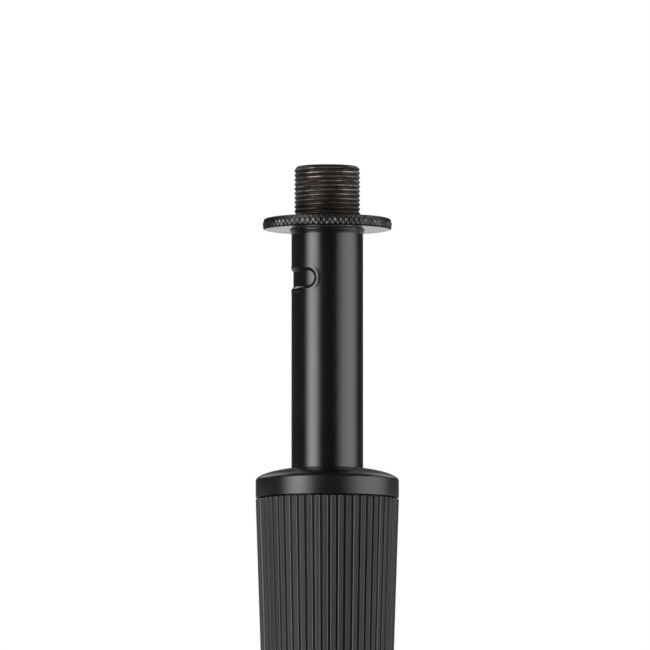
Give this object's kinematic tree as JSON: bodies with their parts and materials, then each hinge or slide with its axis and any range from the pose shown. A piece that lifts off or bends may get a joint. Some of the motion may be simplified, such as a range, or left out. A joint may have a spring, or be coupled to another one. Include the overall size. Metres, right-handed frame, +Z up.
{
  "type": "tripod microphone stand",
  "caption": "Folding tripod microphone stand: telescopic mast with a ribbed twist clutch, a threaded top with a lock ring, and legs with struts on a sliding collar.",
  "frame": {"origin": "on the floor, under the mast's axis", "axes": "+Z up along the mast, towards the thread; -Y towards the leg that points at the camera; +X to the right in the picture"},
  "size_m": [0.598, 0.5208, 0.9437],
  "materials": {
    "black_powder_coat": "satin black powder coat on steel tube and sheet",
    "black_die_cast": "satin black lacquer on zinc die casting",
    "dark_steel": "bare turned steel, dark and worn",
    "knurled_steel": "knurled steel, dark grey",
    "bright_steel": "zinc plated steel",
    "grip_rubber": "matte dark grey moulded rubber",
    "foot_rubber": "matte black rubber",
    "black_plastic": "satin black moulded plastic",
    "natural_nylon": "natural nylon"
  },
  "bodies": {
    "mast": {"lower_tube": "black_powder_coat", "lower_tube_plug": "bright_steel", "hub": "black_die_cast", "hub_screw": "bright_steel", "hub_rivet_1": "bright_steel", "hub_rivet_2": "bright_steel", "hub_rivet_3": "bright_steel", "clutch_body": "black_die_cast"},
    "guide": {"tube_guide": "natural_nylon"},
    "upper_mast": {"upper_tube": "black_powder_coat", "tube_end_plug": "black_plastic", "thread_stud": "dark_steel"},
    "top_ring": {"lock_ring": "knurled_steel"},
    "clutch_cone": {"collet": "natural_nylon", "thrust_washer": "bright_steel"},
    "grip": {"grip_core": "black_plastic", "grip_sleeve": "grip_rubber", "grip_cap": "black_plastic"},
    "slide_collar": {"collar": "black_die_cast", "clamp_nut": "bright_steel", "collar_rivet_1": "bright_steel", "collar_rivet_2": "bright_steel", "collar_rivet_3": "bright_steel"},
    "brake": {"brake_shoe": "natural_nylon"},
    "clamp": {"clamp_screw": "bright_steel", "clamp_knob": "black_plastic"},
    "strut_arm_1": {"strut_1": "black_powder_coat", "strut_rivet_1": "bright_steel"},
    "leg_1": {"leg_tube_1": "black_powder_coat", "leg_head_1": "black_die_cast", "foot_1": "foot_rubber"},
    "strut_arm_2": {"strut_2": "black_powder_coat", "strut_rivet_2": "bright_steel"},
    "leg_2": {"leg_tube_2": "black_powder_coat", "leg_head_2": "black_die_cast", "foot_2": "foot_rubber"},
    "strut_arm_3": {"strut_3": "black_powder_coat", "strut_rivet_3": "bright_steel"},
    "leg_3": {"leg_tube_3": "black_powder_coat", "leg_head_3": "black_die_cast", "foot_3": "foot_rubber"}
  },
  "joints": [
    {"name": "mast_height", "type": "slide", "parent": "mast", "child": "guide", "axis": [0, 0, 1], "range_m": [-0.0562, 0.6473]},
    {"name": "mast_turn", "type": "hinge", "parent": "guide", "child": "upper_mast", "pos_m": [0, 0, 0.12715], "axis": [0, 0, 1], "continuous": true},
    {"name": "ring_turn", "type": "hinge", "parent": "upper_mast", "child": "top_ring", "pos_m": [0, 0, 0.9283], "axis": [0, 0, 1], "continuous": true},
    {"name": "clutch_lift", "type": "slide", "parent": "mast", "child": "clutch_cone", "axis": [0, 0, 1], "range_m": [0, 0.0005]},
    {"name": "grip_twist", "type": "hinge", "parent": "clutch_cone", "child": "grip", "pos_m": [0, 0, 0.795], "axis": [0, 0, 1], "range_deg": [0, 90.01]},
    {"name": "legs_fold", "type": "hinge", "parent": "mast", "child": "strut_arm_1", "pos_m": [0, -0.0279, 0.0516], "axis": [-1, 0, 0], "range_deg": [0, 57]},
    {"name": "leg_1_fold", "type": "hinge", "parent": "strut_arm_1", "child": "leg_1", "pos_m": [0, -0.13827, 0.11028], "axis": [-1, 0, 0], "range_deg": [-114, 0]},
    {"name": "strut_2_fold", "type": "hinge", "parent": "mast", "child": "strut_arm_2", "pos_m": [0.02416, 0.01395, 0.0516], "axis": [0.5, -0.866, 0], "range_deg": [0, 57]},
    {"name": "leg_2_fold", "type": "hinge", "parent": "strut_arm_2", "child": "leg_2", "pos_m": [0.11974, 0.06913, 0.11028], "axis": [0.5, -0.866, 0], "range_deg": [-114, 0]},
    {"name": "strut_3_fold", "type": "hinge", "parent": "mast", "child": "strut_arm_3", "pos_m": [-0.02416, 0.01395, 0.0516], "axis": [0.5, 0.866, 0], "range_deg": [0, 57]},
    {"name": "leg_3_fold", "type": "hinge", "parent": "strut_arm_3", "child": "leg_3", "pos_m": [-0.11974, 0.06913, 0.11028], "axis": [0.5, 0.866, 0], "range_deg": [-114, 0]},
    {"name": "collar_follow", "type": "hinge", "parent": "leg_1", "child": "slide_collar", "pos_m": [0, -0.0279, 0.16897], "axis": [-1, 0, 0], "range_deg": [0, 57]},
    {"name": "brake_release", "type": "slide", "parent": "slide_collar", "child": "brake", "axis": [0, 1, 0], "range_m": [0, 0.001]},
    {"name": "clamp_turn", "type": "hinge", "parent": "brake", "child": "clamp", "pos_m": [0, 0.011, 0.18297], "axis": [0, 1, 0], "range_deg": [0, 360.01]}
  ],
  "couplings": [
    {"joint": "grip_twist", "follows": "clutch_lift", "rad_per_m": 3141.6},
    {"joint": "leg_1_fold", "follows": "legs_fold", "ratio": -2},
    {"joint": "strut_2_fold", "follows": "legs_fold", "ratio": 1},
    {"joint": "leg_2_fold", "follows": "legs_fold", "ratio": -2},
    {"joint": "strut_3_fold", "follows": "legs_fold", "ratio": 1},
    {"joint": "leg_3_fold", "follows": "legs_fold", "ratio": -2},
    {"joint": "collar_follow", "follows": "legs_fold", "ratio": 1},
    {"joint": "clamp_turn", "follows": "brake_release", "rad_per_m": 6283.2}
  ]
}
